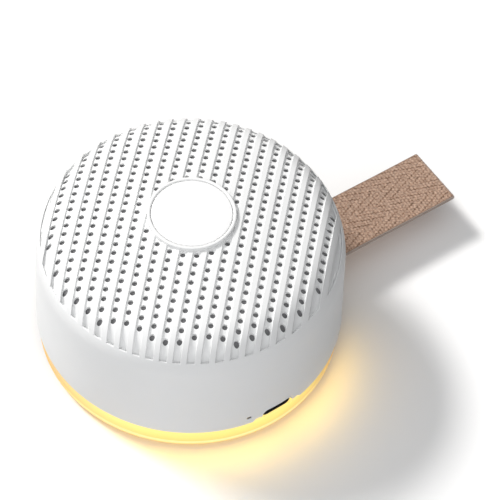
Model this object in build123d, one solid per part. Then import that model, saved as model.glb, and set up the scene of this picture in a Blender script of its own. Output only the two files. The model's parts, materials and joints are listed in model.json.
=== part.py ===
from build123d import *
from math import asin, atan2, degrees, sqrt
import os

# A hand-sized white noise machine: a domed, slotted grille over an upward-facing loudspeaker, a plain
# white wall, a warm light ring around the foot, controls on the underside and a webbing hang loop.
# Millimetres, +Z up. The origin is on the body's axis, on the table that the rubber feet stand on.
# The front is -Y, the grille's slots run along Y, and azimuths turn from +X towards +Y.

# ---- Driving dimensions: casing ----------------------------------------------------------------------
body_diameter = 84.0          # the wall, where the shoulder runs into it
body_top = 50.8               # highest rib of the grille, above the table
seam_height = 39.6            # where the grille sits on the wall's lip
shell_foot = 8.7              # lower edge of the white wall
ring_foot = 1.2               # lower edge of the light ring
base_face = 1.6               # underside of the base plate
crown_radius = 125.0          # sweep of the dome over its ribs
shoulder_radius = 12.0        # roll from the dome into the wall
wall_flare = 0.5              # the wall leans out this much by its lower edge
crown_wall = 1.5
shell_wall = 1.9
lip_width = 1.6               # flat on top of the wall that carries the grille
spigot_wall = 1.5
spigot_depth = 3.0            # the grille's skirt, inside the wall's lip
snug = 0.2                    # clearance between pieces that are put together by hand
close_fit = 0.1               # clearance between pieces that locate each other

# ---- Driving dimensions: slots and holes of the grille -----------------------------------------------
slot_pitch = 3.645
slot_width = 2.05
slot_depth = 0.8
slots_each_side = 11          # beside the middle one
pierced_each_side = 10        # slots that have holes, beside the middle one
hole_diameter = 1.3
hole_pitch = 2.684
hole_sides = 6                # the small holes are modelled six-sided
hole_field_radius = 38.9      # no hole centre further out than this
short_row_radius = 37.9       # the same, in the slots that the cap interrupts
cap_hole_margin = 1.25        # from the cap's rim to the first hole

# ---- Driving dimensions: cap in the middle of the grille ---------------------------------------------
cap_rim_radius = 11.8
cap_rim_wall = 1.05
cap_rise = 1.2                # rim above the ribs
cap_thickness = 1.6
cap_gap = 0.15
cap_edge = 0.3

# ---- Driving dimensions: light ring ------------------------------------------------------------------
ring_radius = 41.8
ring_step = 0.2               # the band above the bead stands back by this much
ring_bead = 2.0               # height of the bead at the ring's foot
ring_round = 1.4
ring_bore = 39.4
ring_ledge = 1.4              # inward ledge that the base plate clamps
ring_ledge_height = 1.0
ring_spigot = 2.0             # height inside the white wall
tab_rise = 1.1                # the ring stands up this much around the socket
tab_width = 13.6
tab_flank = 0.8               # slope of the tab's ends

# ---- Driving dimensions: sockets and lights in the wall ----------------------------------------------
port_azimuth = -45.0
port_height = 10.1            # middle of the charging socket
port_opening = 9.9
port_opening_height = 3.9
port_lip = 0.35               # bevel around the opening
port_setback = 0.9            # the socket's mouth behind the wall's face
usb_width = 8.94
usb_height = 3.16
usb_depth = 7.35
usb_skin = 0.3
tongue_width = 6.7
tongue_height = 0.7
tongue_setback = 0.9
charge_light_azimuth = -57.1
charge_light_height = 11.5
charge_light_size = 1.3

# ---- Driving dimensions: hang loop -------------------------------------------------------------------
strap_azimuth = 44.0
strap_offset = -1.8           # the loop's middle, beside the line from the axis
strap_height = 10.1           # middle of the webbing
strap_width = 19.0
webbing = 0.9                 # thickness of one layer
layer_gap = 0.2
strap_reach = 83.1            # from the axis to the fold
strap_root = 43.8             # from the axis to where the webbing flexes
strap_tail_end = 42.5
strap_eye_gap = 0.1           # between the pin and the webbing round it
strap_slot_margin = 0.5
strap_pin_radius = 1.0
strap_pin_place = 37.2        # from the axis
lug_thickness = 1.8
lug_gap = 0.6
lug_wall = 0.8                # around the pin, towards the axis
lug_rise = 2.6                # above the pin's middle

# ---- Driving dimensions: base plate and feet ---------------------------------------------------------
base_thickness = 1.8
panel_radius = 29.25
panel_depth = 1.2
panel_thickness = 1.8
panel_rim = 1.75
upstand_radius = 37.6
upstand_wall = 0.8
upstand_top = 7.6
foot_count = 3
foot_circle = 33.4
foot_azimuth = 90.0
foot_radius = 3.4
foot_pocket = 0.8
foot_edge = 0.5

# ---- Driving dimensions: push buttons ----------------------------------------------------------------
button_radius = 4.8
power_button_radius = 6.0
button_circle = 17.2
button_gap = 0.25
button_proud = 0.3
button_travel = 0.6
button_flange = 1.0           # beyond the cap
button_flange_thickness = 0.8
button_lift = 0.1             # flange above the panel
button_edge = 0.3
stem_radius = 1.6
stem_length = 1.7
tact_size = 6.0
tact_height = 2.7
tact_well = 1.7

# ---- Driving dimensions: slide switch ----------------------------------------------------------------
switch_row = 13.4             # from the axis, towards the back
switch_pocket_length = 23.3
switch_pocket_width = 7.5
switch_pocket_depth = 0.9
switch_slot_length = 7.5
switch_slot_width = 4.8
switch_travel = 2.7
switch_knob_radius = 2.3
switch_plate_length = 11.0
switch_plate_width = 6.0
switch_post = 2.0
switch_body_length = 9.0
switch_body_width = 4.6

# ---- Driving dimensions: electronics -----------------------------------------------------------------
board_low = 9.0
board_thickness = 1.2
board_radius = 34.8
board_standoff_circle = 29.5
board_standoff_radius = 2.5
board_standoff_azimuth = 30.0
post_clearance = 0.6
light_row = 21.1              # timer lights, from the axis towards the back
light_pitch = 5.27
light_count = 4
light_radius = 0.6
chip_height = 0.6
strip_thickness = 0.25
strip_low = 4.6
strip_high = 7.3
led_count = 18
led_width = 3.5
led_height = 2.4
led_depth = 0.8
battery_length = 44.0
battery_width = 28.0
battery_height = 5.2
battery_corner = 2.0
pad_thickness = 0.8
lead_radius = 0.8
terminal_reach = 5.0
terminal_thickness = 0.6

# ---- Driving dimensions: loudspeaker -----------------------------------------------------------------
baffle_low = 34.8
baffle_thickness = 1.6
baffle_radius = 38.8
baffle_bore = 24.6
gasket_thickness = 0.5
speaker_radius = 29.0
speaker_flange = 1.2
speaker_screw_circle = 26.9
speaker_screw_count = 4
basket_skin = 1.0
basket_foot = 25.4            # underside of the basket, on the magnet's top plate
basket_foot_radius = 15.0
basket_window = 13.0
plate_thickness = 2.0
magnet_radius = 16.0
magnet_height = 5.5
yoke_thickness = 1.0
pole_radius = 7.0
coil_radius = 7.6             # middle of the coil's wall
coil_wall = 0.6
coil_depth = 4.0              # below the basket's foot
cone_foot = 29.0
cone_rim = 37.4
cone_radius = 20.5
cone_skin = 0.5
roll_radius = 1.6
roll_skin = 0.4
roll_gap = 0.3
cap_dome_radius = 8.6
cap_dome_rise = 2.4

# ---- Driving dimensions: fasteners -------------------------------------------------------------------
case_screw_radius = 1.2
case_screw_head = 2.4
case_screw_head_height = 1.6
case_screw_length = 8.0
case_post_radius = 3.0
case_web = 1.6
case_boss_floor = 2.0         # plastic under the wall's post that the screw clamps
small_screw_radius = 0.95
small_screw_head = 1.9
small_screw_head_height = 1.2
small_screw_length = 3.6
thread_clearance = 0.05
mesh_thickness = 0.4
mesh_gap = 0.15
mesh_slack = 0.2              # the flats hang this much below the dome

# ---- Worked out from the driving dimensions ----------------------------------------------------------
body_radius = body_diameter / 2
foot_wall_radius = body_radius + wall_flare
shoulder_middle = body_radius - shoulder_radius
dome_centre = body_top - crown_radius
shoulder_height = dome_centre + sqrt((crown_radius - shoulder_radius) ** 2 - shoulder_middle ** 2)
shoulder_turn = degrees(atan2(shoulder_height - dome_centre, shoulder_middle))
panel_face = base_face + panel_depth
panel_back = panel_face + panel_thickness
board_top = board_low + board_thickness
strap_thickness = 2 * webbing + layer_gap
strap_eye = strap_pin_radius + strap_eye_gap + webbing
strap_place = Rot(0, 0, strap_azimuth) * Pos(0, strap_offset, 0)
strap_notch_top = strap_height + strap_thickness / 2 + strap_slot_margin - layer_gap
BOTTOM = (Align.CENTER, Align.CENTER, Align.MIN)


def outline_radius(depth, height):
    """Radius of the shoulder, a given depth under its skin, at a height."""
    return shoulder_middle + sqrt((shoulder_radius - depth) ** 2 - (height - shoulder_height) ** 2)


def outline_height(depth, radius):
    """Height of the dome and its shoulder, a given depth under the skin, at a radius."""
    if radius < shoulder_middle * (crown_radius - depth) / (crown_radius - shoulder_radius):
        return dome_centre + sqrt((crown_radius - depth) ** 2 - radius ** 2)
    return shoulder_height + sqrt((shoulder_radius - depth) ** 2 - (radius - shoulder_middle) ** 2)


def outline_arcs(depth, low):
    """The dome and its shoulder as two arcs, a given depth under the skin, down to a height."""
    start = degrees(asin((low - shoulder_height) / (shoulder_radius - depth)))
    shoulder = CenterArc((shoulder_middle, shoulder_height), shoulder_radius - depth, start,
                         shoulder_turn - start)
    dome = CenterArc((0, dome_centre), crown_radius - depth, shoulder_turn, 90 - shoulder_turn)
    return [shoulder, dome]


def dome_skin(outer_depth, inner_depth, low):
    """A skin of the dome between two depths, turned about the body's axis."""
    top = Line((0, body_top - outer_depth), (0, body_top - inner_depth))
    foot = Line((outline_radius(inner_depth, low), low), (outline_radius(outer_depth, low), low))
    edges = outline_arcs(outer_depth, low) + [top] + outline_arcs(inner_depth, low) + [foot]
    return revolve(Plane.XZ * make_face(edges), Axis.Z)


def turned(*points):
    """A solid turned about the body's axis from a closed outline of radius and height."""
    return revolve(Plane.XZ * make_face(Polyline(*points, close=True)), Axis.Z)


def disc(radius, low, high):
    return Pos(0, 0, low) * Cylinder(radius, high - low, align=BOTTOM)


def ring(inner, outer, low, high):
    return disc(outer, low, high) - disc(inner, low - 1, high + 1)


def block(length, width, low, high):
    return Pos(0, 0, low) * Box(length, width, high - low, align=BOTTOM)


def around(radius, azimuth):
    """A place on a circle about the axis, turned to face outwards."""
    return Rot(0, 0, azimuth) * Pos(radius, 0, 0)


def outward(radius, height):
    """A drawing plane that faces out along +X: its x runs sideways and its y runs up."""
    return Plane(origin=(radius, 0, height), x_dir=(0, 1, 0), z_dir=(1, 0, 0))


def wall_slot(azimuth, height, length, tall, start, end):
    """A round-ended bar that runs through the wall from one radius to another."""
    bar = extrude(outward(start, height) * SlotOverall(length, tall), end - start)
    return Rot(0, 0, azimuth) * bar


foot_places = [around(foot_circle, foot_azimuth + turn * 360 / foot_count) for turn in range(foot_count)]
standoff_places = [around(board_standoff_circle, board_standoff_azimuth + turn * 120) for turn in range(3)]
light_places = [Pos((place - (light_count - 1) / 2) * light_pitch, light_row, 0)
                for place in range(light_count)]
button_places = {
    "power_button": Pos(0, 0, 0),
    "volume_up_button": Pos(button_circle, 0, 0),
    "timer_button": around(button_circle, -45),
    "sound_button": around(button_circle, -90),
    "light_button": around(button_circle, -135),
    "volume_down_button": Pos(-button_circle, 0, 0),
}
button_sizes = {name: button_radius for name in button_places}
button_sizes["power_button"] = power_button_radius


# ---- Grille ------------------------------------------------------------------------------------------
def hole_row(slot):
    """How far each hole of a slot lies from the middle, on the +Y side."""
    across = slot * slot_pitch
    first_ring = cap_rim_radius + cap_hole_margin
    if across < first_ring:
        first = sqrt(first_ring ** 2 - across ** 2)
        limit = short_row_radius
    else:
        first = hole_pitch / 2
        limit = hole_field_radius
    reach = sqrt(limit ** 2 - across ** 2)
    holes = int((reach - first) / hole_pitch) + 1
    return [first + hole * hole_pitch for hole in range(holes)]


def crown_grille():
    lip = outline_radius(0, seam_height)
    spigot_radius = lip - lip_width - snug
    body = dome_skin(0, crown_wall, seam_height)
    body += ring(spigot_radius - spigot_wall, spigot_radius, seam_height - spigot_depth, seam_height + 1)
    slots = Sketch() + [
        Pos(slot * slot_pitch, 0) * Rectangle(slot_width, body_diameter)
        for slot in range(-slots_each_side, slots_each_side + 1)
    ]
    slot_bars = extrude(Pos(0, 0, seam_height) * slots, body_top)
    body -= slot_bars & dome_skin(-1, slot_depth, seam_height)
    places = []
    for slot in range(-pierced_each_side, pierced_each_side + 1):
        for along in hole_row(abs(slot)):
            places.append((slot * slot_pitch, along))
            places.append((slot * slot_pitch, -along))
    holes = Locations(*places) * RegularPolygon(hole_diameter / 2, hole_sides)
    body -= extrude(Pos(0, 0, seam_height) * (Sketch() + holes), body_top)
    rim_top = body_top + cap_rise
    cap_seat = rim_top - cap_thickness - cap_gap
    body += disc(cap_rim_radius, body_top - crown_wall + mesh_gap, rim_top)
    body -= disc(cap_rim_radius - cap_rim_wall, cap_seat, rim_top + 1)
    return body


def cap_disc():
    rim_top = body_top + cap_rise
    low = rim_top - cap_thickness - cap_gap
    cap = disc(cap_rim_radius - cap_rim_wall - cap_gap, low, low + cap_thickness)
    return chamfer(cap.edges().group_by(Axis.Z)[-1], cap_edge)


def acoustic_mesh():
    """Fine cloth stretched under the grille in a few flats, to keep dust out."""
    depth = crown_wall + mesh_gap + mesh_slack
    edge = outline_radius(depth, seam_height + crown_wall)
    radii = [edge * share for share in (0, 0.35, 0.62, 0.82, 0.94, 1)]
    above = [(radius, outline_height(depth, radius)) for radius in radii]
    below = [(radius, height - mesh_thickness) for radius, height in reversed(above)]
    return turned(*above, *below)


# ---- Wall --------------------------------------------------------------------------------------------
def tab_shape(margin):
    """Outline of the light ring's raised tab, drawn on the wall above the ring."""
    half = tab_width / 2 + margin
    rise = tab_rise + margin
    below = -tab_rise
    return make_face(Polyline(
        (-half - tab_flank, below), (-half - tab_flank, 0), (-half, rise), (half, rise),
        (half + tab_flank, 0), (half + tab_flank, below), close=True))


def tab_bar(margin, start, end):
    bar = extrude(outward(start, shell_foot) * tab_shape(margin), end - start)
    return Rot(0, 0, port_azimuth) * bar


def port_bar(start, end):
    return wall_slot(port_azimuth, port_height, port_opening, port_opening_height, start, end)


def port_bevel(face_radius):
    """The bevelled lip at the mouth of the socket's opening."""
    wider = 4 * port_lip
    inner = outward(face_radius - port_lip, port_height) * SlotOverall(port_opening, port_opening_height)
    outer = outward(face_radius + port_lip, port_height) * SlotOverall(
        port_opening + wider, port_opening_height + wider)
    return Rot(0, 0, port_azimuth) * loft([inner.face(), outer.face()])


def strap_notch(margin, start, end):
    width = strap_width + 2 * margin
    bar = Pos((start + end) / 2, 0, 0) * block(end - start, width, shell_foot - 1, strap_notch_top)
    return strap_place * bar


def side_shell():
    lip = outline_radius(0, seam_height)
    lip_bore = lip - lip_width
    wall_bore = body_radius - shell_wall
    step = seam_height - spigot_depth - snug
    start = degrees(asin((seam_height - shoulder_height) / shoulder_radius))
    shoulder = CenterArc((shoulder_middle, shoulder_height), shoulder_radius, 0, start)
    rest = Polyline(
        (body_radius, shoulder_height), (foot_wall_radius, shell_foot),
        (foot_wall_radius - shell_wall, shell_foot), (wall_bore, step),
        (lip_bore, step), (lip_bore, seam_height), (lip, seam_height))
    shell = revolve(Plane.XZ * make_face([shoulder] + list(rest.edges())), Axis.Z)
    post_low = base_face + case_screw_head_height + foot_pocket + case_boss_floor
    for place in foot_places:
        post = disc(case_post_radius, post_low, baffle_low)
        web_low = shell_foot + ring_spigot + 1.5
        web_length = wall_bore - foot_circle + 0.6
        web = Pos(web_length / 2, 0, 0) * block(web_length, case_web, web_low, baffle_low)
        shell += place * (post + web)
        shell -= place * disc(
            case_screw_radius + thread_clearance, post_low - 1, post_low + case_screw_length)
    lug_start = strap_pin_place - strap_pin_radius - lug_wall
    lug_reach = foot_wall_radius - shell_wall / 2 - lug_start
    lug_middle = lug_start + lug_reach / 2
    lug_offset = strap_width / 2 + lug_gap + lug_thickness / 2
    for side in (-1, 1):
        lug = Pos(lug_middle, side * lug_offset, 0) * block(
            lug_reach, lug_thickness, shell_foot + close_fit, strap_height + lug_rise)
        shell += (strap_place * lug) & disc(foot_wall_radius - shell_wall / 2, shell_foot, seam_height)
    pin_bore = Pos(strap_pin_place, 0, strap_height) * Rot(90, 0, 0) * Cylinder(
        strap_pin_radius + thread_clearance, strap_width + 12)
    shell -= strap_place * pin_bore
    shell -= tab_bar(close_fit, wall_bore - 2, foot_wall_radius + 2)
    shell -= port_bar(wall_bore - 2, foot_wall_radius + 2)
    shell -= port_bevel(foot_wall_radius)
    shell -= strap_notch(strap_slot_margin, wall_bore - 3, foot_wall_radius + 2)
    shell -= charge_light_bar(close_fit / 2, wall_bore - 2, foot_wall_radius + 2)
    return shell


def charge_light_bar(margin, start, end):
    size = charge_light_size + 2 * margin
    return wall_slot(charge_light_azimuth, charge_light_height, size, size * 0.6, start, end)


def charge_lens():
    return charge_light_bar(0, board_radius + 0.4, foot_wall_radius - 0.2)


def light_ring():
    """Frosted ring that glows: a bead at its foot, a ledge that the base clamps, a spigot in the wall."""
    band = ring_radius - ring_step
    bead_top = ring_foot + ring_bead
    ledge_low = base_face + base_thickness
    ledge = ring_bore - ring_ledge
    spigot_radius = foot_wall_radius - shell_wall - snug
    corner = RadiusArc(
        (ring_radius - ring_round, ring_foot), (ring_radius, ring_foot + ring_round), -ring_round)
    rest = Polyline(
        (ring_radius, ring_foot + ring_round), (ring_radius, bead_top - ring_step), (band, bead_top),
        (band, shell_foot), (spigot_radius, shell_foot), (spigot_radius, shell_foot + ring_spigot),
        (ring_bore, shell_foot + ring_spigot), (ring_bore, ledge_low + ring_ledge_height),
        (ledge, ledge_low + ring_ledge_height), (ledge, ledge_low), (ring_bore, ledge_low),
        (ring_bore, ring_foot), (ring_radius - ring_round, ring_foot))
    body = revolve(Plane.XZ * make_face([corner] + list(rest.edges())), Axis.Z)
    tab_skin = ring(ring_bore, foot_wall_radius - snug, shell_foot - 0.5, shell_foot + tab_rise + 1)
    body += tab_skin & tab_bar(0, ring_bore - 2, foot_wall_radius + 2)
    body -= port_bar(ring_bore - 3, foot_wall_radius + 2)
    lug_room = strap_notch(lug_gap + lug_thickness + 1.0, ring_bore - 4, foot_wall_radius + 2)
    body -= lug_room & disc(foot_wall_radius + 3, shell_foot, strap_notch_top)
    body -= lug_room & disc(spigot_radius + snug, strap_height - strap_eye - snug, shell_foot + 1)
    return body


# ---- Hang loop ---------------------------------------------------------------------------------------
def swung_out(profile):
    """Webbing drawn as radius and height, given its width and turned to its azimuth."""
    webbing_plane = Plane(origin=(0, strap_width / 2, 0), x_dir=(1, 0, 0), z_dir=(0, -1, 0))
    return strap_place * extrude(webbing_plane * profile, strap_width)


def strap_loop():
    """The part of the loop outside the wall: one webbing, folded back at its end."""
    half = strap_thickness / 2
    length = strap_reach - strap_root + half
    outside = Pos(strap_root - half + length / 2, strap_height) * SlotOverall(length, strap_thickness)
    slit_start = strap_root + 3
    slit_end = strap_reach - webbing
    slit = Pos((slit_start + slit_end) / 2, strap_height) * Rectangle(slit_end - slit_start, layer_gap)
    return swung_out(outside - slit)


def strap_tail():
    """The part of the loop inside the wall, round its pin."""
    eye = Pos(strap_pin_place, strap_height) * Circle(strap_eye)
    length = strap_tail_end - strap_pin_place
    layers = Pos(strap_pin_place + length / 2, strap_height) * Rectangle(length, strap_thickness)
    hole = Pos(strap_pin_place, strap_height) * Circle(strap_eye - webbing)
    return swung_out(eye + layers - hole)


def strap_pin():
    length = strap_width + 2 * (lug_gap + lug_thickness)
    pin = Pos(strap_pin_place, 0, strap_height) * Rot(90, 0, 0) * Cylinder(strap_pin_radius, length)
    return strap_place * pin


# ---- Base --------------------------------------------------------------------------------------------
def base_plate():
    floor_top = base_face + base_thickness
    boss_top = base_face + case_screw_head_height + foot_pocket + case_boss_floor
    plate = disc(ring_bore - snug, base_face, floor_top)
    plate += disc(panel_radius + panel_rim, base_face, panel_back)
    plate -= disc(panel_radius, base_face - 1, panel_face)
    plate += ring(upstand_radius - upstand_wall, upstand_radius, floor_top - 0.5, upstand_top)
    for place in foot_places:
        plate += place * disc(foot_radius, floor_top - 0.5, boss_top)
        head_seat = base_face + foot_pocket + case_screw_head_height
        plate -= place * disc(foot_radius + close_fit, base_face - 1, base_face + foot_pocket)
        plate -= place * disc(case_screw_head + snug, base_face, head_seat)
        plate -= place * disc(case_screw_radius + snug, base_face, boss_top + 1)
    for place in standoff_places:
        plate += place * disc(board_standoff_radius, panel_face + 1, board_low)
        plate -= place * disc(
            small_screw_radius + thread_clearance, board_low - small_screw_length, board_low + 1)
    for name, place in button_places.items():
        plate -= place * disc(button_sizes[name] + button_gap, base_face - 1, panel_back + 1)
    pocket = extrude(Pos(0, switch_row, base_face) * SlotOverall(switch_pocket_length, switch_pocket_width),
                     panel_depth + switch_pocket_depth)
    slot = extrude(Pos(0, switch_row, base_face) * SlotOverall(switch_slot_length, switch_slot_width),
                   panel_back)
    plate -= pocket + slot
    for place in light_places:
        plate -= place * disc(light_radius + thread_clearance, base_face, panel_back + 1)
    return plate


def rubber_foot(place):
    foot = disc(foot_radius, 0, base_face + foot_pocket)
    return place * chamfer(foot.edges().group_by(Axis.Z)[0], foot_edge)


def push_button(name):
    radius = button_sizes[name]
    face = panel_face - button_proud
    flange_low = panel_back + button_lift
    flange_top = flange_low + button_flange_thickness
    cap = disc(radius, face, flange_low)
    cap = chamfer(cap.edges().group_by(Axis.Z)[0], button_edge)
    cap += disc(radius + button_flange, flange_low, flange_top)
    cap += disc(stem_radius, flange_top, flange_top + stem_length)
    return button_places[name] * cap


def tact_switches():
    """One small switch over each button; the button's stem runs in its well."""
    low = board_low - tact_height
    switch = block(tact_size, tact_size, low, board_low)
    switch -= disc(stem_radius + snug, low - 1, low + tact_well)
    return Compound(children=[place * switch for place in button_places.values()])


def switch_knob():
    """Round thumb knob on a plate that slides behind the panel, at its end of travel."""
    plate_low = panel_back + button_lift
    plate_high = plate_low + button_flange_thickness
    knob = disc(switch_knob_radius, panel_face - button_proud, plate_low)
    knob = chamfer(knob.edges().group_by(Axis.Z)[0], button_edge)
    knob += block(switch_plate_length, switch_plate_width, plate_low, plate_high)
    knob += block(switch_post, switch_post, plate_high, plate_high + stem_length)
    return Pos(-switch_travel / 2, switch_row, 0) * knob


def switch_body():
    low = board_low - tact_height
    body = block(switch_body_length, switch_body_width, low, board_low)
    well_length = switch_post + switch_travel + 2 * snug
    body -= block(well_length, switch_post + 2 * snug, low - 1, low + tact_well)
    return Pos(0, switch_row, 0) * body


# ---- Electronics -------------------------------------------------------------------------------------
def control_board():
    board = disc(board_radius, board_low, board_top)
    for place in foot_places:
        notch = disc(case_post_radius + post_clearance, board_low - 1, board_top + 1)
        notch += Pos(case_post_radius, 0, 0) * block(
            2 * case_post_radius, 2 * (case_post_radius + post_clearance), board_low - 1, board_top + 1)
        board -= place * notch
    for place in standoff_places:
        board -= place * disc(small_screw_radius + snug, board_low - 1, board_top + 1)
    socket_back = foot_wall_radius - port_setback - usb_depth
    seat = Pos((socket_back + board_radius + 2) / 2 - close_fit, 0, 0) * block(
        board_radius + 2 - socket_back, usb_width + 2 * close_fit, board_low - 1, board_top + 1)
    board -= Rot(0, 0, port_azimuth) * seat
    return board


def usb_shell():
    """Metal shell of the charging socket, sunk in a cut-out of the board."""
    mouth = foot_wall_radius - port_setback
    back = mouth - usb_depth
    shell = wall_slot(port_azimuth, port_height, usb_width, usb_height, back, mouth)
    inside = wall_slot(port_azimuth, port_height, usb_width - 2 * usb_skin, usb_height - 2 * usb_skin,
                       back + 1, mouth + 1)
    return shell - inside


def usb_tongue():
    mouth = foot_wall_radius - port_setback
    back = mouth - usb_depth + 1
    length = usb_depth - 1 - tongue_setback
    tongue = Pos(back + length / 2, 0, port_height) * Box(length, tongue_width, tongue_height)
    return Rot(0, 0, port_azimuth) * tongue


def board_chips():
    """Sound chip, amplifier, charger and coil on top of the board, beside the battery."""
    chips = [
        Pos(0, -21, 0) * block(9, 9, board_top, board_top + 1.2),
        Pos(-4, 20, 0) * block(6, 5, board_top, board_top + 1.0),
        Pos(14, -21, 0) * block(5, 5, board_top, board_top + 1.0),
        Pos(7, 20, 0) * block(6, 6, board_top, board_top + 2.4),
    ]
    return Compound(children=chips)


def indicator_lenses():
    pipe = disc(light_radius, panel_face, board_low - chip_height)
    return Compound(children=[place * pipe for place in light_places])


def indicator_leds():
    chip = block(1.6, 1.6, board_low - chip_height, board_low)
    chips = [place * chip for place in light_places]
    side_chip = Pos(board_radius - 1.2, 0, 0) * block(1.6, 1.6, board_top, charge_light_height + 0.5)
    chips.append(Rot(0, 0, charge_light_azimuth) * side_chip)
    return Compound(children=chips)


def light_strip():
    """Flexible strip that carries the ring's lights round the base's upstand."""
    inner = upstand_radius + thread_clearance
    return ring(inner, inner + strip_thickness, strip_low, strip_high)


def light_leds():
    face = upstand_radius + thread_clearance + strip_thickness
    middle = (strip_low + strip_high) / 2
    chip = Pos(thread_clearance + led_depth / 2, 0, 0) * block(
        led_depth, led_width, middle - led_height / 2, middle + led_height / 2)
    return Compound(children=[around(face, turn * 360 / led_count) * chip for turn in range(led_count)])


def battery_pad():
    return block(battery_length, battery_width, board_top, board_top + pad_thickness)


def battery_cell():
    low = board_top + pad_thickness
    cell = block(battery_length, battery_width, low, low + battery_height)
    return fillet(cell.edges().filter_by(Axis.X), battery_corner)


# ---- Loudspeaker -------------------------------------------------------------------------------------
basket_rim = baffle_low + baffle_thickness + gasket_thickness
basket_top = basket_rim + speaker_flange
plate_low = basket_foot - plate_thickness
magnet_low = plate_low - magnet_height
yoke_low = magnet_low - yoke_thickness
speaker_screw_places = [around(speaker_screw_circle, 45 + turn * 360 / speaker_screw_count)
                        for turn in range(speaker_screw_count)]


def speaker_baffle():
    """Moulded ring on the wall's posts, held down by the grille's skirt, that carries the loudspeaker."""
    top = baffle_low + baffle_thickness
    baffle = ring(baffle_bore, baffle_radius, baffle_low, top)
    for place in speaker_screw_places:
        baffle += place * disc(small_screw_head, baffle_low - 2.5, baffle_low + 0.5)
        baffle -= place * disc(small_screw_radius + thread_clearance, baffle_low - 3, top + 1)
    return baffle


def speaker_gasket():
    low = baffle_low + baffle_thickness
    gasket = ring(baffle_bore, speaker_radius, low, low + gasket_thickness)
    for place in speaker_screw_places:
        gasket -= place * disc(small_screw_radius + snug, low - 1, low + 2)
    return gasket


def speaker_basket():
    """Pressed steel frame: a flat rim, a cone with four windows, and a flat foot on the magnet."""
    rim_bore = baffle_bore - 1.2
    foot_top = basket_foot + basket_skin
    foot_bore = coil_radius + coil_wall / 2 + roll_gap
    basket = turned(
        (speaker_radius, basket_rim), (speaker_radius, basket_top), (rim_bore - basket_skin, basket_top),
        (basket_foot_radius - basket_skin, foot_top), (foot_bore, foot_top), (foot_bore, basket_foot),
        (basket_foot_radius, basket_foot), (rim_bore, basket_rim))
    window_low = foot_top + 1.5
    window_high = basket_rim - 1.5
    for turn in range(4):
        window = Pos(speaker_radius / 2 + 4, 0, 0) * block(
            speaker_radius, basket_window, window_low, window_high)
        basket -= Rot(0, 0, turn * 90) * window
    for place in speaker_screw_places:
        basket -= place * disc(small_screw_radius + snug, basket_rim - 1, basket_top + 1)
    return basket


def speaker_magnet():
    return ring(coil_radius + coil_wall / 2 + 2 * roll_gap, magnet_radius, magnet_low, plate_low)


def top_plate():
    return ring(coil_radius + coil_wall / 2 + roll_gap, basket_foot_radius, plate_low, basket_foot)


def yoke():
    """Back plate and centre pole in one piece."""
    return disc(basket_foot_radius, yoke_low, magnet_low) + disc(pole_radius, magnet_low, basket_foot)


def voice_coil():
    half = coil_wall / 2
    return ring(coil_radius - half, coil_radius + half, basket_foot - coil_depth, cone_foot)


def speaker_cone():
    neck = coil_radius - coil_wall / 2
    return turned(
        (neck, cone_foot), (neck + 1.5, cone_foot), (cone_radius, cone_rim),
        (cone_radius, cone_rim + cone_skin), (neck + 1.0, cone_foot + cone_skin),
        (neck, cone_foot + cone_skin))


def dust_cap():
    """Shallow dome over the coil, on the cone."""
    low = cone_foot + 2 * cone_skin
    top = low + cap_dome_rise
    middle = (cap_dome_radius * 0.55, top - cap_dome_rise * 0.25)
    return turned(
        (0, top), middle, (cap_dome_radius, low), (cap_dome_radius - 2 * cone_skin, low),
        (middle[0], middle[1] - cone_skin), (0, top - cone_skin))


def cone_surround():
    """Roll of rubber between the cone's edge and the basket's rim, as a ridge with flats."""
    inner = cone_radius + roll_gap
    outer = inner + 2 * roll_radius
    crest = basket_top + roll_radius
    return turned(
        (inner, basket_top), (inner + 0.6, crest - 0.4), (inner + 1.2, crest), (outer - 1.2, crest),
        (outer - 0.6, crest - 0.4), (outer, basket_top + roll_skin), (outer + 1.0, basket_top + roll_skin),
        (outer + 1.0, basket_top), (outer - roll_skin, basket_top), (outer - 1.0, crest - 0.8),
        (outer - 1.4, crest - roll_skin), (inner + 1.4, crest - roll_skin), (inner + 1.0, crest - 0.8),
        (inner + roll_skin, basket_top))


# ---- Leads and fasteners -----------------------------------------------------------------------------
def lead(points, bend):
    """A thin insulated lead along a few straight runs with round bends."""
    path = FilletPolyline(*points, radius=bend)
    section = Plane(origin=path @ 0, z_dir=path % 0) * Circle(lead_radius)
    return sweep(section, path=path)


def speaker_lead():
    away = battery_length / 2 + 6.5
    beside = magnet_radius + 2 * lead_radius
    top = basket_foot - 2 * terminal_thickness
    return lead([(-beside, 0, top), (-beside, 0, top - 3.4), (-away, 0, 18.0), (-away, 0, board_top)], 2.4)


def speaker_terminal():
    """Fibre strip on the top plate's edge where the lead is soldered."""
    middle = basket_foot_radius + thread_clearance + terminal_reach / 2
    low = basket_foot - 2 * terminal_thickness
    return Pos(-middle, 0, 0) * block(terminal_reach, 5, low, low + terminal_thickness)


def battery_lead():
    away = battery_length / 2 + 4.5
    height = board_top + pad_thickness + battery_height / 2
    return lead([(battery_length / 2, 4, height), (away, 4, height), (away, 4, board_top)], 2.0)


def case_screws():
    head_low = base_face + foot_pocket
    head_top = head_low + case_screw_head_height
    screw = disc(case_screw_head, head_low, head_top)
    screw += disc(case_screw_radius, head_top, head_top + case_screw_length)
    return Compound(children=[place * screw for place in foot_places])


def small_screw(seat):
    screw = disc(small_screw_head, seat, seat + small_screw_head_height)
    return screw + disc(small_screw_radius, seat - small_screw_length, seat)


def board_screws():
    return Compound(children=[place * small_screw(board_top) for place in standoff_places])


def speaker_screws():
    return Compound(children=[place * small_screw(basket_top) for place in speaker_screw_places])


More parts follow.
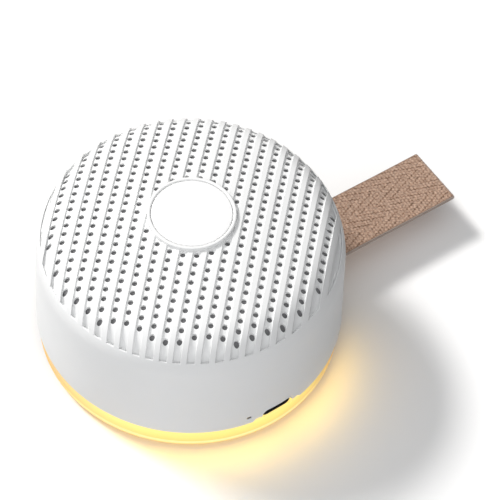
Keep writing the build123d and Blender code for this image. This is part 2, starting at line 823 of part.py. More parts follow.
# ---- Write every piece -------------------------------------------------------------------------------
pieces = {
    "crown_grille": crown_grille(),
    "cap_disc": cap_disc(),
    "acoustic_mesh": acoustic_mesh(),
    "side_shell": side_shell(),
    "charge_lens": charge_lens(),
    "light_ring": light_ring(),
    "light_strip": light_strip(),
    "light_leds": light_leds(),
    "strap_loop": strap_loop(),
    "strap_tail": strap_tail(),
    "strap_pin": strap_pin(),
    "base_plate": base_plate(),
    "back_foot": rubber_foot(foot_places[0]),
    "left_foot": rubber_foot(foot_places[1]),
    "right_foot": rubber_foot(foot_places[2]),
    "tact_switches": tact_switches(),
    "switch_knob": switch_knob(),
    "switch_body": switch_body(),
    "control_board": control_board(),
    "board_chips": board_chips(),
    "usb_shell": usb_shell(),
    "usb_tongue": usb_tongue(),
    "indicator_lenses": indicator_lenses(),
    "indicator_leds": indicator_leds(),
    "battery_pad": battery_pad(),
    "battery_cell": battery_cell(),
    "battery_lead": battery_lead(),
    "speaker_baffle": speaker_baffle(),
    "speaker_gasket": speaker_gasket(),
    "speaker_basket": speaker_basket(),
    "speaker_magnet": speaker_magnet(),
    "top_plate": top_plate(),
    "yoke": yoke(),
    "voice_coil": voice_coil(),
    "speaker_cone": speaker_cone(),
    "dust_cap": dust_cap(),
    "cone_surround": cone_surround(),
    "speaker_terminal": speaker_terminal(),
    "speaker_lead": speaker_lead(),
    "case_screws": case_screws(),
    "board_screws": board_screws(),
    "speaker_screws": speaker_screws(),
}
for button in button_places:
    pieces[button] = push_button(button)

os.makedirs("parts", exist_ok=True)
for node, piece in pieces.items():
    export_step(piece, f"parts/{node}.step")
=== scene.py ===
import json
import math

import bmesh
import bpy
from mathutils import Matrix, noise

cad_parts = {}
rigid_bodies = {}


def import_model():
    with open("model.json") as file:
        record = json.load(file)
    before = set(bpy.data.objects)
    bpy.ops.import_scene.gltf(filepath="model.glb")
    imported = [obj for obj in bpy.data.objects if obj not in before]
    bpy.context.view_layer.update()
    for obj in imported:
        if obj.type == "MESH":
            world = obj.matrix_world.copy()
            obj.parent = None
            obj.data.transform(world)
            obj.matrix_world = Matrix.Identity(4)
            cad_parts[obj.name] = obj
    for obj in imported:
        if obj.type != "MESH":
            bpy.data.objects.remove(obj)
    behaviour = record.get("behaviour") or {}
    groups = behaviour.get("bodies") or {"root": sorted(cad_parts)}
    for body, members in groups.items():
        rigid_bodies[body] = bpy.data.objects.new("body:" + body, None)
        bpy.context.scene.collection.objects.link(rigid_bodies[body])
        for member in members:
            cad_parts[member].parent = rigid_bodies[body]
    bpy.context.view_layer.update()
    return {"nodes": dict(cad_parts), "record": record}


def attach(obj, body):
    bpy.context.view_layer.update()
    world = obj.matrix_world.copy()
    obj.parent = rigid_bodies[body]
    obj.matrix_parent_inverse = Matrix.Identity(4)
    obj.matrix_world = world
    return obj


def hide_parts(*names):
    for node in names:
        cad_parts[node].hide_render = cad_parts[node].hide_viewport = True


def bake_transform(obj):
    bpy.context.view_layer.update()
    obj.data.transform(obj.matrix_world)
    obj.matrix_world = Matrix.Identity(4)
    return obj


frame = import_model()

# A hand-sized white noise machine: slotted dome, plain white wall, glowing ring round the foot, controls
# underneath and a woven hang loop. Metres, +Z up, the table at z = 0, the front towards -Y.


# ---- Room --------------------------------------------------------------------------------------------
# A white table top in soft daylight from the upper left and slightly behind. The table and the air around
# it look plain white; the table still takes the machine's shadow and the warm glow of its ring.
for shown in bpy.context.view_layer.objects:
    shown.select_set(False)

camera_data = bpy.data.cameras.new("studio_camera")
camera_data.lens = 208.293
camera_data.sensor_width = 36
camera_data.clip_end = 20
camera = bpy.data.objects.new("studio_camera", camera_data)
camera.location = (0.073183, -0.456690, 0.667498)
camera.rotation_euler = (math.radians(36.1485), math.radians(-1.8609), math.radians(9.8973))
bpy.context.scene.collection.objects.link(camera)
bpy.context.scene.camera = camera
bpy.context.scene.view_settings.view_transform = "Standard"

for side, tilt in (("left", -14.5), ("back", -21.5)):
    daylight_data = bpy.data.lights.new("daylight_" + side, "SUN")
    daylight_data.energy = 1.4
    daylight_data.angle = math.radians(12)
    daylight_data.color = (1.0, 0.985, 0.965)
    daylight = bpy.data.objects.new("daylight_" + side, daylight_data)
    daylight.rotation_euler = (math.radians(tilt), math.radians(-44.3), 0)
    bpy.context.scene.collection.objects.link(daylight)


def spread(tree, value, low, high, start=0.0, end=1.0, eased=False):
    """Carries a value from one range over to another and holds it at both ends."""
    node = tree.nodes.new("ShaderNodeMapRange")
    node.interpolation_type = "SMOOTHSTEP" if eased else "LINEAR"
    node.inputs["From Min"].default_value = low
    node.inputs["From Max"].default_value = high
    node.inputs["To Min"].default_value = start
    node.inputs["To Max"].default_value = end
    tree.links.new(value, node.inputs["Value"])
    return node.outputs[0]


def reckon(tree, operation, first, second, clamped=False):
    """Adds or multiplies two values, or takes the larger of them."""
    node = tree.nodes.new("ShaderNodeMath")
    node.operation = operation
    node.use_clamp = clamped
    tree.links.new(first, node.inputs[0])
    tree.links.new(second, node.inputs[1])
    return node.outputs[0]


def leaning(tree, way, side):
    """How far a direction or a place lies to the given side."""
    node = tree.nodes.new("ShaderNodeVectorMath")
    node.operation = "DOT_PRODUCT"
    node.inputs[1].default_value = side
    tree.links.new(way, node.inputs[0])
    return node.outputs["Value"]


def either(tree, share, first, second):
    """One shader where the share is 0 and the other where it is 1."""
    node = tree.nodes.new("ShaderNodeMixShader")
    tree.links.new(share, node.inputs[0])
    tree.links.new(first, node.inputs[1])
    tree.links.new(second, node.inputs[2])
    return node.outputs[0]


# The air gives most of its light from above, some from the front, and less on the right. The light from far
# below is for the underside, and whoever looks at the air, or at its image in metal, sees plain white.
air = bpy.data.worlds.new("white_air")
bpy.context.scene.world = air
air.use_nodes = True
air_tree = air.node_tree
daylit_air = air_tree.nodes["Background"]
daylit_air.inputs["Color"].default_value = (0.985, 0.99, 1.0, 1)
air_way = air_tree.nodes.new("ShaderNodeTexCoord").outputs["Generated"]
air_split = air_tree.nodes.new("ShaderNodeSeparateXYZ")
air_tree.links.new(air_way, air_split.inputs[0])
from_above = spread(air_tree, air_split.outputs["Z"], 0.0, 1.0, 0.0, 0.88)
from_below = spread(air_tree, air_split.outputs["Z"], -1.0, -0.4, 1.6, 0.0)
from_front = leaning(air_tree, air_way, (0.04, -0.68, 0))
right_side = leaning(air_tree, air_way, (0.97, 0.24, 0))
less_right = spread(air_tree, right_side, 0.1, 0.8, 0.0, -0.26)
air_light = reckon(air_tree, "ADD", from_above, from_below)
air_light = reckon(air_tree, "ADD", air_light, from_front)
air_light = reckon(air_tree, "ADD", air_light, less_right, clamped=True)
air_tree.links.new(air_light, daylit_air.inputs["Strength"])
plain_air = air_tree.nodes.new("ShaderNodeBackground")
plain_air.inputs["Color"].default_value = (1, 1, 1, 1)
air_rays = air_tree.nodes.new("ShaderNodeLightPath").outputs
looked_at = reckon(air_tree, "MAXIMUM", air_rays["Is Glossy Ray"], air_rays["Is Transmission Ray"])
looked_at = reckon(air_tree, "MAXIMUM", air_rays["Is Camera Ray"], looked_at)
air_seen = either(air_tree, looked_at, daylit_air.outputs[0], plain_air.outputs[0])
air_tree.links.new(air_seen, air_tree.nodes["World Output"].inputs["Surface"])

# The table lets light up from below and can't be seen from there, so that the underside shows too.
bpy.ops.mesh.primitive_plane_add(size=6, location=(0, 0, 0))
table = bpy.context.object
table.name = "table_top"
table_paint = bpy.data.materials.new("white_table")
table_paint.use_nodes = True
table_tree = table_paint.node_tree
painted = table_tree.nodes["Principled BSDF"]
painted.inputs["Base Color"].default_value = (0.97, 0.97, 0.97, 1)
painted.inputs["Roughness"].default_value = 0.9
painted.inputs["Specular IOR Level"].default_value = 0.0
unseen = table_tree.nodes.new("ShaderNodeBsdfTransparent")
table_rays = table_tree.nodes.new("ShaderNodeLightPath").outputs
from_under = table_tree.nodes.new("ShaderNodeNewGeometry").outputs["Backfacing"]
let_through = reckon(table_tree, "MAXIMUM", table_rays["Is Diffuse Ray"], table_rays["Is Shadow Ray"])
let_through = reckon(table_tree, "MAXIMUM", let_through, from_under)
table_seen = either(table_tree, let_through, painted.outputs[0], unseen.outputs[0])
table_tree.links.new(table_seen, table_tree.nodes["Material Output"].inputs["Surface"])
table.data.materials.append(table_paint)


# ---- Grille ------------------------------------------------------------------------------------------
# One white moulding: a shallow dome that rolls over into the wall, with a straight slot beside each rib and
# rows of small round holes through the floors of the slots. A skirt under its edge drops into the wall.
mm = 0.001
body_top = 50.8
seam_height = 39.6
dome_radius = 125.0
roll_radius = 12.0
roll_centre = 30.0
dome_centre = body_top - dome_radius
roll_height = dome_centre + math.sqrt((dome_radius - roll_radius) ** 2 - roll_centre ** 2)
slot_pitch = 3.645
slot_half = 2.05 / 2
slot_depth = 0.52
slots_each_side = 11
arris = 0.1
end_sink = 0.45
sink_start = 37.0
sink_run = 3.2
slot_foot = 39.0
bar_reach = 46.0
bar_rise = 4.0
bar_clearance = 12.0
inner_depth = 1.1
flange_foot = 38.9
skirt_radius = 39.17
skirt_foot = 36.6
skirt_bore = 37.67
hole_radius = 0.75
hole_pitch = 2.684
hole_field = 38.9
short_field = 37.9
first_hole_circle = 13.05
drill_foot = 37.5
drill_top = 53.0


def dome_edge(depth, height):
    """How far the dome reaches at a height, a given depth under the ribs."""
    return roll_centre + math.sqrt((roll_radius - depth) ** 2 - (height - roll_height) ** 2)


def dome_height(radius, depth):
    """Height of the dome at a radius, a given depth under the ribs."""
    if radius < roll_centre * (dome_radius - depth) / (dome_radius - roll_radius):
        return dome_centre + math.sqrt((dome_radius - depth) ** 2 - radius ** 2)
    rise = (roll_radius - depth) ** 2 - (radius - roll_centre) ** 2
    return roll_height + math.sqrt(max(rise, 0))


def pick_only(piece):
    """Leaves one piece selected and active, as a click on it does."""
    bpy.ops.object.select_all(action="DESELECT")
    piece.select_set(True)
    bpy.context.view_layer.objects.active = piece


def carve(piece, operation, *tools):
    """Cuts a piece with the tools, keeps what they share, or joins them on, and throws the tools away."""
    for tool in tools:
        pick_only(piece)
        knife = piece.modifiers.new("carve", "BOOLEAN")
        knife.operation = operation
        knife.object = tool
        knife.solver = "MANIFOLD"
        bpy.ops.object.modifier_apply(modifier="carve")
        bpy.data.objects.remove(tool)


def join_all(pieces):
    """Makes one object of several and returns it."""
    bpy.ops.object.select_all(action="DESELECT")
    for piece in pieces:
        piece.select_set(True)
    bpy.context.view_layer.objects.active = pieces[0]
    bpy.ops.object.join()
    bpy.ops.object.transform_apply(location=True, rotation=True, scale=True)
    return pieces[0]


def spin_outline(name, outline, steps=160):
    """A turned piece: its closed outline is drawn from one point and spun about the body's axis."""
    bpy.ops.mesh.primitive_plane_add(size=mm, location=(0, 0, 0))
    piece = bpy.context.object
    piece.name = name
    bpy.ops.object.mode_set(mode="EDIT")
    bpy.ops.mesh.merge(type="CENTER")
    bpy.ops.transform.translate(value=(outline[0][0] * mm, 0, outline[0][1] * mm))
    for start, end in zip(outline, outline[1:]):
        step = ((end[0] - start[0]) * mm, 0, (end[1] - start[1]) * mm)
        bpy.ops.mesh.extrude_region_move(TRANSFORM_OT_translate={"value": step})
    bpy.ops.mesh.select_all(action="SELECT")
    bpy.ops.mesh.spin(steps=steps, angle=2 * math.pi, center=(0, 0, 0), axis=(0, 0, 1))
    bpy.ops.mesh.select_all(action="SELECT")
    bpy.ops.mesh.remove_doubles(threshold=0.001 * mm)
    bpy.ops.mesh.normals_make_consistent(inside=False)
    bpy.ops.object.mode_set(mode="OBJECT")
    return piece


def arc(centre, radius, start, end, steps=4):
    """Points of an outline's rounded corner, from one angle to another, in degrees from outwards to up."""
    turns = [math.radians(start + (end - start) * step / steps) for step in range(steps + 1)]
    return [(centre[0] + radius * math.cos(turn), centre[1] + radius * math.sin(turn)) for turn in turns]


def smooth(piece, degrees=32):
    """Shades a piece smooth, with an edge wherever its faces turn more than this."""
    pick_only(piece)
    bpy.ops.object.shade_smooth_by_angle(angle=math.radians(degrees))


def settle(piece, body, slot, *nodes):
    """Says what a finished piece moves with and hides the solids that it stands for; slot is not used."""
    pick_only(piece)
    bpy.ops.object.transform_apply(location=True, rotation=True, scale=True)
    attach(piece, body)
    if nodes:
        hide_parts(*nodes)


def moulded_finish_group():
    """Colour, gloss and fine grain of a plastic part as it leaves its mould."""
    group = bpy.data.node_groups.new("moulded_finish", "ShaderNodeTree")
    values = (
        ("Colour", "NodeSocketColor", (0.8, 0.8, 0.8, 1)),
        ("Mottle", "NodeSocketFloat", 0.02),
        ("Roughness", "NodeSocketFloat", 0.5),
        ("Grain size", "NodeSocketFloat", 2600.0),
    )
    for name, kind, start in values:
        socket = group.interface.new_socket(name=name, in_out="INPUT", socket_type=kind)
        socket.default_value = start
    group.interface.new_socket(name="Colour", in_out="OUTPUT", socket_type="NodeSocketColor")
    group.interface.new_socket(name="Roughness", in_out="OUTPUT", socket_type="NodeSocketFloat")
    group.interface.new_socket(name="Height", in_out="OUTPUT", socket_type="NodeSocketFloat")
    nodes = group.nodes
    links = group.links
    given = nodes.new("NodeGroupInput")
    made = nodes.new("NodeGroupOutput")
    place = nodes.new("ShaderNodeTexCoord")
    patches = nodes.new("ShaderNodeTexNoise")
    patches.inputs["Scale"].default_value = 90
    patches.inputs["Detail"].default_value = 3
    links.new(place.outputs["Object"], patches.inputs["Vector"])
    swing = nodes.new("ShaderNodeMath")
    swing.operation = "MULTIPLY_ADD"
    swing.inputs[1].default_value = 2
    swing.inputs[2].default_value = -1
    links.new(patches.outputs["Fac"], swing.inputs[0])
    shade = nodes.new("ShaderNodeMath")
    shade.operation = "MULTIPLY_ADD"
    shade.inputs[2].default_value = 1
    links.new(swing.outputs[0], shade.inputs[0])
    links.new(given.outputs["Mottle"], shade.inputs[1])
    tint = nodes.new("ShaderNodeVectorMath")
    tint.operation = "SCALE"
    links.new(given.outputs["Colour"], tint.inputs[0])
    links.new(shade.outputs[0], tint.inputs["Scale"])
    links.new(tint.outputs[0], made.inputs["Colour"])
    grain = nodes.new("ShaderNodeTexNoise")
    grain.inputs["Detail"].default_value = 2
    links.new(place.outputs["Object"], grain.inputs["Vector"])
    links.new(given.outputs["Grain size"], grain.inputs["Scale"])
    links.new(grain.outputs["Fac"], made.inputs["Height"])
    gloss = nodes.new("ShaderNodeMath")
    gloss.operation = "MULTIPLY_ADD"
    gloss.inputs[1].default_value = 0.12
    links.new(swing.outputs[0], gloss.inputs[0])
    links.new(given.outputs["Roughness"], gloss.inputs[2])
    links.new(gloss.outputs[0], made.inputs["Roughness"])
    return group


moulded_finish = moulded_finish_group()


def moulded(name, colour, roughness, mottle=0.02, grain_size=2600.0, grain=0.25, sheen=0.5):
    """A plastic: its colour, mottle and gloss from the moulded finish, its grain as a fine bump."""
    paint = bpy.data.materials.new(name)
    paint.use_nodes = True
    nodes = paint.node_tree.nodes
    links = paint.node_tree.links
    surface = nodes["Principled BSDF"]
    surface.inputs["Specular IOR Level"].default_value = sheen
    finish = nodes.new("ShaderNodeGroup")
    finish.node_tree = moulded_finish
    finish.inputs["Colour"].default_value = (*colour, 1)
    finish.inputs["Mottle"].default_value = mottle
    finish.inputs["Roughness"].default_value = roughness
    finish.inputs["Grain size"].default_value = grain_size
    bump = nodes.new("ShaderNodeBump")
    bump.inputs["Strength"].default_value = grain
    bump.inputs["Distance"].default_value = 0.00003
    links.new(finish.outputs["Colour"], surface.inputs["Base Color"])
    links.new(finish.outputs["Roughness"], surface.inputs["Roughness"])
    links.new(finish.outputs["Height"], bump.inputs["Height"])
    links.new(bump.outputs["Normal"], surface.inputs["Normal"])
    return paint


def coat(piece, paint):
    """Gives a piece one finish all over."""
    piece.data.materials.clear()
    piece.data.materials.append(paint)


roll_start = math.degrees(math.atan2(roll_height - dome_centre, roll_centre))
roll_end = math.degrees(math.asin((seam_height - roll_height) / roll_radius))
outer_radii = (4, 8, 12, 16, 20, 24, 28, 31)
inner_radii = (skirt_bore, 36, 34, 32, 29, 24, 16, 8, 0)
grille = spin_outline("slotted_grille", [
    (0, body_top),
    *[(radius, dome_height(radius, 0)) for radius in outer_radii],
    *arc((roll_centre, roll_height), roll_radius, roll_start, roll_end, 10),
    (40.6, seam_height), (40.5, flange_foot), (skirt_radius, flange_foot), (skirt_radius, skirt_foot + 0.1),
    (39.0, skirt_foot), (skirt_bore, skirt_foot),
    *[(radius, dome_height(radius, inner_depth)) for radius in inner_radii],
    (0, body_top)], steps=256)

half_section = [
    (slot_half * 0.3, slot_depth), (slot_half - 0.1, slot_depth), (slot_half - 0.03, slot_depth - 0.03),
    (slot_half, slot_depth - 0.1), (slot_half, arris), (slot_half + arris + 0.25, -0.25)]
slot_section = [(-across, depth) for across, depth in reversed(half_section)] + half_section
rows = 76
slot_bars = []
for slot in range(-slots_each_side, slots_each_side + 1):
    bpy.ops.mesh.primitive_grid_add(x_subdivisions=len(slot_section) - 1, y_subdivisions=rows, size=1)
    bar = bpy.context.object
    for vertex in bar.data.vertices:
        across, depth = slot_section[round((vertex.co.x + 0.5) * (len(slot_section) - 1))]
        x = slot * slot_pitch + across
        row = vertex.co.y * 2
        sink = end_sink if depth > arris else 0
        edge_reach = dome_edge(depth + sink, slot_foot)
        if abs(row) > 0.99 or abs(x) > edge_reach - 0.02:
            y = row * math.sqrt(bar_reach ** 2 - x ** 2)
            height = slot_foot
        else:
            y = math.sin(row / (1 - 2 / rows) * math.pi / 2) * math.sqrt(edge_reach ** 2 - x ** 2)
            near_edge = max(0, min(1, (math.hypot(x, y) - sink_start) / sink_run))
            height = dome_height(math.hypot(x, y), depth + sink * near_edge ** 2 * (3 - 2 * near_edge))
        vertex.co = (x * mm, y * mm, height * mm)
    bpy.ops.object.mode_set(mode="EDIT")
    bpy.ops.mesh.select_all(action="SELECT")
    bpy.ops.mesh.extrude_region_move(TRANSFORM_OT_translate={"value": (0, 0, bar_rise * mm)})
    bpy.ops.transform.resize(value=(1, 1, 0))
    bpy.ops.transform.translate(value=(0, 0, bar_clearance * mm))
    bpy.ops.mesh.select_all(action="SELECT")
    bpy.ops.mesh.normals_make_consistent(inside=False)
    bpy.ops.object.mode_set(mode="OBJECT")
    slot_bars.append(bar)
carve(grille, "DIFFERENCE", join_all(slot_bars))

drill_rows = []
for slot in range(1 - slots_each_side, slots_each_side):
    across = abs(slot) * slot_pitch
    broken = across < first_hole_circle
    first = math.sqrt(first_hole_circle ** 2 - across ** 2) if broken else hole_pitch / 2
    reach = math.sqrt((short_field if broken else hole_field) ** 2 - across ** 2)
    count = int((reach - first) / hole_pitch) + 1
    starts = [first, -first - (count - 1) * hole_pitch] if broken else [-first - (count - 1) * hole_pitch]
    for start in starts:
        bpy.ops.mesh.primitive_cylinder_add(
            vertices=16, radius=hole_radius * mm, depth=(drill_top - drill_foot) * mm,
            location=(slot * slot_pitch * mm, start * mm, (drill_top + drill_foot) / 2 * mm))
        drill = bpy.context.object
        row = drill.modifiers.new("row", "ARRAY")
        row.count = count if broken else 2 * count
        row.use_relative_offset = False
        row.use_constant_offset = True
        row.constant_offset_displace = (0, hole_pitch * mm, 0)
        bpy.ops.object.modifier_apply(modifier="row")
        drill_rows.append(drill)
carve(grille, "DIFFERENCE", join_all(drill_rows))
smooth(grille, 25)
weighted = grille.modifiers.new("weighted", "WEIGHTED_NORMAL")
weighted.keep_sharp = True
bpy.ops.object.modifier_apply(modifier="weighted")
white_plastic = moulded("white_moulding", (0.88, 0.885, 0.885), 0.52)
coat(grille, white_plastic)
settle(grille, "casing", "white_plastic", "crown_grille")


# ---- Dust cloth --------------------------------------------------------------------------------------
# A fine grey cloth lies against the underside of the grille and shows as the grey floor of each hole. It is
# cut round, stretched over the dome and glued at its edge.
cloth_radii = [39.5, 38.8, 38, 37, 36, 34, 32, 29, 24, 16, 8, 0]
dust_cloth = spin_outline("dust_cloth", [
    *[(radius, dome_height(radius, inner_depth + 0.06)) for radius in cloth_radii],
    *[(radius, dome_height(radius, inner_depth + 0.4)) for radius in reversed(cloth_radii)]], steps=128)
smooth(dust_cloth, 60)
grey_cloth = moulded("grey_dust_cloth", (0.19, 0.19, 0.195), 0.9, mottle=0.25, grain_size=5200.0, grain=1.0,
                     sheen=0.1)
coat(dust_cloth, grey_cloth)
settle(dust_cloth, "casing", "mesh_cloth", "acoustic_mesh")


# ---- Cap ---------------------------------------------------------------------------------------------
# A round trim cap in the middle of the grille: a raised rim moulded with the ribs, and a separate smooth
# disc that snaps into it with a hairline gap all round.
rim_radius = 12.05
rim_bore = 11.05
rim_top = 51.25
rim_foot = 49.3
cap_radius = 10.9
cap_seat = 50.0
cap_top = 51.13
cap_rim = spin_outline("cap_rim", [
    (rim_radius, rim_foot), *arc((rim_radius - 0.4, rim_top - 0.4), 0.4, 0, 90),
    *arc((rim_bore + 0.35, rim_top - 0.35), 0.35, 90, 180), (rim_bore, cap_seat), (9.0, cap_seat),
    (9.0, rim_foot), (rim_radius, rim_foot)])
smooth(cap_rim)
cap_plate = spin_outline("smooth_cap", [
    (0, cap_seat), (cap_radius, cap_seat), *arc((cap_radius - 0.3, 50.8), 0.3, 0, 85), (8.0, cap_top - 0.01),
    (4.0, cap_top), (0, cap_top), (0, cap_seat)])
smooth(cap_plate)
cap_plastic = moulded("cap_moulding", (0.93, 0.93, 0.93), 0.38, mottle=0.01, grain=0.1)
coat(cap_rim, white_plastic)
coat(cap_plate, cap_plastic)
settle(cap_rim, "casing", "white_plastic", "crown_grille")
settle(cap_plate, "casing", "cap_plastic", "cap_disc")


# ---- Wall --------------------------------------------------------------------------------------------
# The plain white wall is a moulded tube with a rolled shoulder. Its lower edge is cut out for the charging
# socket, the ring's raised tab and the hang loop, and a small oblong window shows the charging light.
wall_foot_radius = 42.5
wall_foot = 8.7
seat_radius = skirt_radius + 0.2
seat_height = flange_foot - 0.1
seat_foot = skirt_foot - 0.2
port_azimuth = -45.0
port_height = 10.1
port_length = 9.9
port_tall = 3.9
charge_azimuth = -57.1
charge_height = 11.5
strap_azimuth = 44.0
strap_height = 10.1
strap_width = 18.3
strap_offset = -1.45
cut_start = 38.0
cut_end = 44.0


def wall_tool(name, azimuth, height, length, tall):
    """A round-ended bar that points out through the wall."""
    turn = math.radians(azimuth)
    bpy.ops.mesh.primitive_circle_add(vertices=40, radius=tall / 2 * mm, fill_type="NGON")
    tool = bpy.context.object
    tool.name = name
    for vertex in tool.data.vertices:
        vertex.co.x += math.copysign((length - tall) / 2 * mm, vertex.co.x)
    bpy.ops.object.mode_set(mode="EDIT")
    bpy.ops.mesh.select_all(action="SELECT")
    bpy.ops.mesh.extrude_region_move(TRANSFORM_OT_translate={"value": (0, 0, (cut_end - cut_start) * mm)})
    bpy.ops.mesh.select_all(action="SELECT")
    bpy.ops.mesh.normals_make_consistent(inside=False)
    bpy.ops.object.mode_set(mode="OBJECT")
    tool.location = (cut_start * math.cos(turn) * mm, cut_start * math.sin(turn) * mm, height * mm)
    tool.rotation_euler = (math.pi / 2, 0, turn + math.pi / 2)
    bpy.ops.object.transform_apply(location=True, rotation=True, scale=True)
    return tool


def wall_block(name, azimuth, width, low, high, start=cut_start, end=cut_end, flank=0.0, offset=0.0):
    """A squared bar that points out through the wall; flank slopes its upper corners in."""
    turn = math.radians(azimuth)
    bpy.ops.mesh.primitive_cube_add(size=1)
    tool = bpy.context.object
    tool.name = name
    for vertex in tool.data.vertices:
        half = width / 2 + (flank if vertex.co.z < 0 else 0)
        vertex.co.x = (start if vertex.co.x < 0 else end) * mm
        vertex.co.y = (math.copysign(half, vertex.co.y) + offset) * mm
        vertex.co.z = (low if vertex.co.z < 0 else high) * mm
    tool.rotation_euler = (0, 0, turn)
    bpy.ops.object.transform_apply(location=True, rotation=True, scale=True)
    return tool


shoulder = arc((roll_centre, roll_height), roll_radius, roll_end, 0, 8)
lip_radius = shoulder[0][0]
wall = spin_outline("white_wall", [
    (seat_radius, seat_height), (40.66, seat_height), (40.7, 39.54),
    (lip_radius - 0.2, seam_height), (lip_radius - 0.05, 39.56), (lip_radius + 0.02, 39.47),
    (lip_radius + 0.08, 39.36), *shoulder[1:], (42.1, 30.0), (42.25, 22.0), (42.38, 15.0),
    *arc((wall_foot_radius - 0.25, wall_foot + 0.25), 0.25, 0, -90), (40.6, wall_foot),
    (40.1, seat_foot), (seat_radius, seat_foot), (seat_radius, seat_height)], steps=256)
carve(wall, "DIFFERENCE",
      wall_block("tab_room", port_azimuth, 13.8, 8.0, 9.9, flank=1.6),
      wall_tool("socket_opening", port_azimuth, port_height, port_length, port_tall),
      wall_block("loop_opening", strap_azimuth, 20.0, 8.0, 11.9, offset=strap_offset),
      wall_tool("charge_window", charge_azimuth, charge_height, 1.6, 1.0))
lip_band = spin_outline("socket_lip", [
    (41.9, 9.85), (42.52, 9.85), *arc((42.5, 12.6), 0.1, 0, 90), (41.9, 12.7), (41.9, 9.85)], steps=256)
carve(lip_band, "INTERSECT",
      wall_tool("lip_outside", port_azimuth, port_height, port_length + 0.5, port_tall + 0.5))
carve(lip_band, "DIFFERENCE",
      wall_tool("lip_inside", port_azimuth, port_height, port_length, port_tall))
smooth(lip_band)
coat(lip_band, white_plastic)
settle(lip_band, "casing", "white_plastic", "side_shell")
smooth(wall)
coat(wall, white_plastic)
settle(wall, "casing", "white_plastic", "side_shell")


# ---- Light ring --------------------------------------------------------------------------------------
# A frosted ring that glows warm white from a strip of small lamps behind it. It has a bead at its foot, and
# a raised tab with sloped ends stands up round the lower half of the charging socket.
ring_foot = 1.2
ring_radius = 41.8
ring_bore = 39.4
bead_round = 1.4
ring = spin_outline("glowing_ring", [
    (ring_bore, ring_foot), *arc((ring_radius - bead_round, ring_foot + bead_round), bead_round, -90, 0, 8),
    (ring_radius, 2.95), (41.72, 3.1), (41.6, 3.25), (41.6, wall_foot), (40.4, wall_foot), (40.4, 10.7),
    (ring_bore, 10.7), (ring_bore, ring_foot)], steps=256)
tab_skin = spin_outline("tab_skin", [
    (40.6, 8.3), (42.2, 8.3), *arc((42.0, 11.0), 0.3, 0, 90), (40.6, 11.3), (40.6, 8.3)], steps=256)
tab_shape = wall_block("tab_shape", port_azimuth, 13.6, 8.1, 9.8, start=39, end=45, flank=1.2)
carve(tab_skin, "INTERSECT", tab_shape)
carve(ring, "UNION", tab_skin)
carve(ring, "DIFFERENCE",
      wall_tool("socket_room", port_azimuth, port_height, port_length, port_tall),
      wall_block("loop_room", strap_azimuth, 24.8, 8.72, 11.9, offset=strap_offset))
smooth(ring)

glow = bpy.data.materials.new("frosted_glow")
glow.use_nodes = True
glow_tree = glow.node_tree
frosted = glow_tree.nodes["Principled BSDF"]
frosted.inputs["Roughness"].default_value = 0.35
frosted.inputs["Emission Strength"].default_value = 0.85
glow_finish = glow_tree.nodes.new("ShaderNodeGroup")
glow_finish.node_tree = moulded_finish
glow_finish.inputs["Colour"].default_value = (0.42, 0.32, 0.13, 1)
glow_finish.inputs["Mottle"].default_value = 0.03
glow_tree.links.new(glow_finish.outputs["Colour"], frosted.inputs["Base Color"])
glow_place = glow_tree.nodes.new("ShaderNodeTexCoord").outputs["Object"]
glow_split = glow_tree.nodes.new("ShaderNodeSeparateXYZ")
glow_tree.links.new(glow_place, glow_split.inputs[0])
glow_height = glow_split.outputs["Z"]

# Its look as it shines: brown at the foot, which is painted shade, brightest on the bead, a painted
# highlight, and under the wall, and a darker gold away from the front, which is painted shade too.
# Up the ring's height this ramp paints shade at the foot and a highlight on the bead.
glow_and_painted_light_ramp = glow_tree.nodes.new("ShaderNodeValToRGB")
glow_and_painted_light_ramp.color_ramp.elements[0].color = (0.45, 0.22, 0.05, 1)
glow_and_painted_light_ramp.color_ramp.elements[0].position = 0.03
glow_and_painted_light_ramp.color_ramp.elements[1].color = (0.97, 0.8, 0.26, 1)
glow_and_painted_light_ramp.color_ramp.elements[1].position = 0.97
for place, colour in ((0.08, (0.62, 0.34, 0.08)), (0.14, (0.78, 0.5, 0.14)), (0.2, (0.97, 0.78, 0.3)),
                      (0.26, (0.99, 0.86, 0.4)), (0.3, (0.86, 0.62, 0.15)), (0.45, (0.93, 0.71, 0.17)),
                      (0.8, (0.99, 0.83, 0.22))):
    glow_and_painted_light_ramp.color_ramp.elements.new(place).color = (*colour, 1)
glow_tree.links.new(spread(glow_tree, glow_height, ring_foot * mm, wall_foot * mm), glow_and_painted_light_ramp.inputs["Fac"])
reach = ring_radius * mm
glow_front = leaning(glow_tree, glow_place, (0.25 / reach, -0.97 / reach, 0))
# Darker gold towards the sides and back of the ring is painted shade.
painted_side_shade = glow_tree.nodes.new("ShaderNodeMix")
painted_side_shade.data_type = "RGBA"
painted_side_shade.blend_type = "MULTIPLY"
painted_side_shade.inputs[7].default_value = (0.55, 0.36, 0.25, 1)
painted_side_shade_share = spread(glow_tree, glow_front, 0.3, 0.95, 1.0, 0.0, eased=True)
glow_tree.links.new(painted_side_shade_share, painted_side_shade.inputs["Factor"])
glow_tree.links.new(glow_and_painted_light_ramp.outputs["Color"], painted_side_shade.inputs[6])
glow_tree.links.new(painted_side_shade.outputs[2], frosted.inputs["Emission Color"])

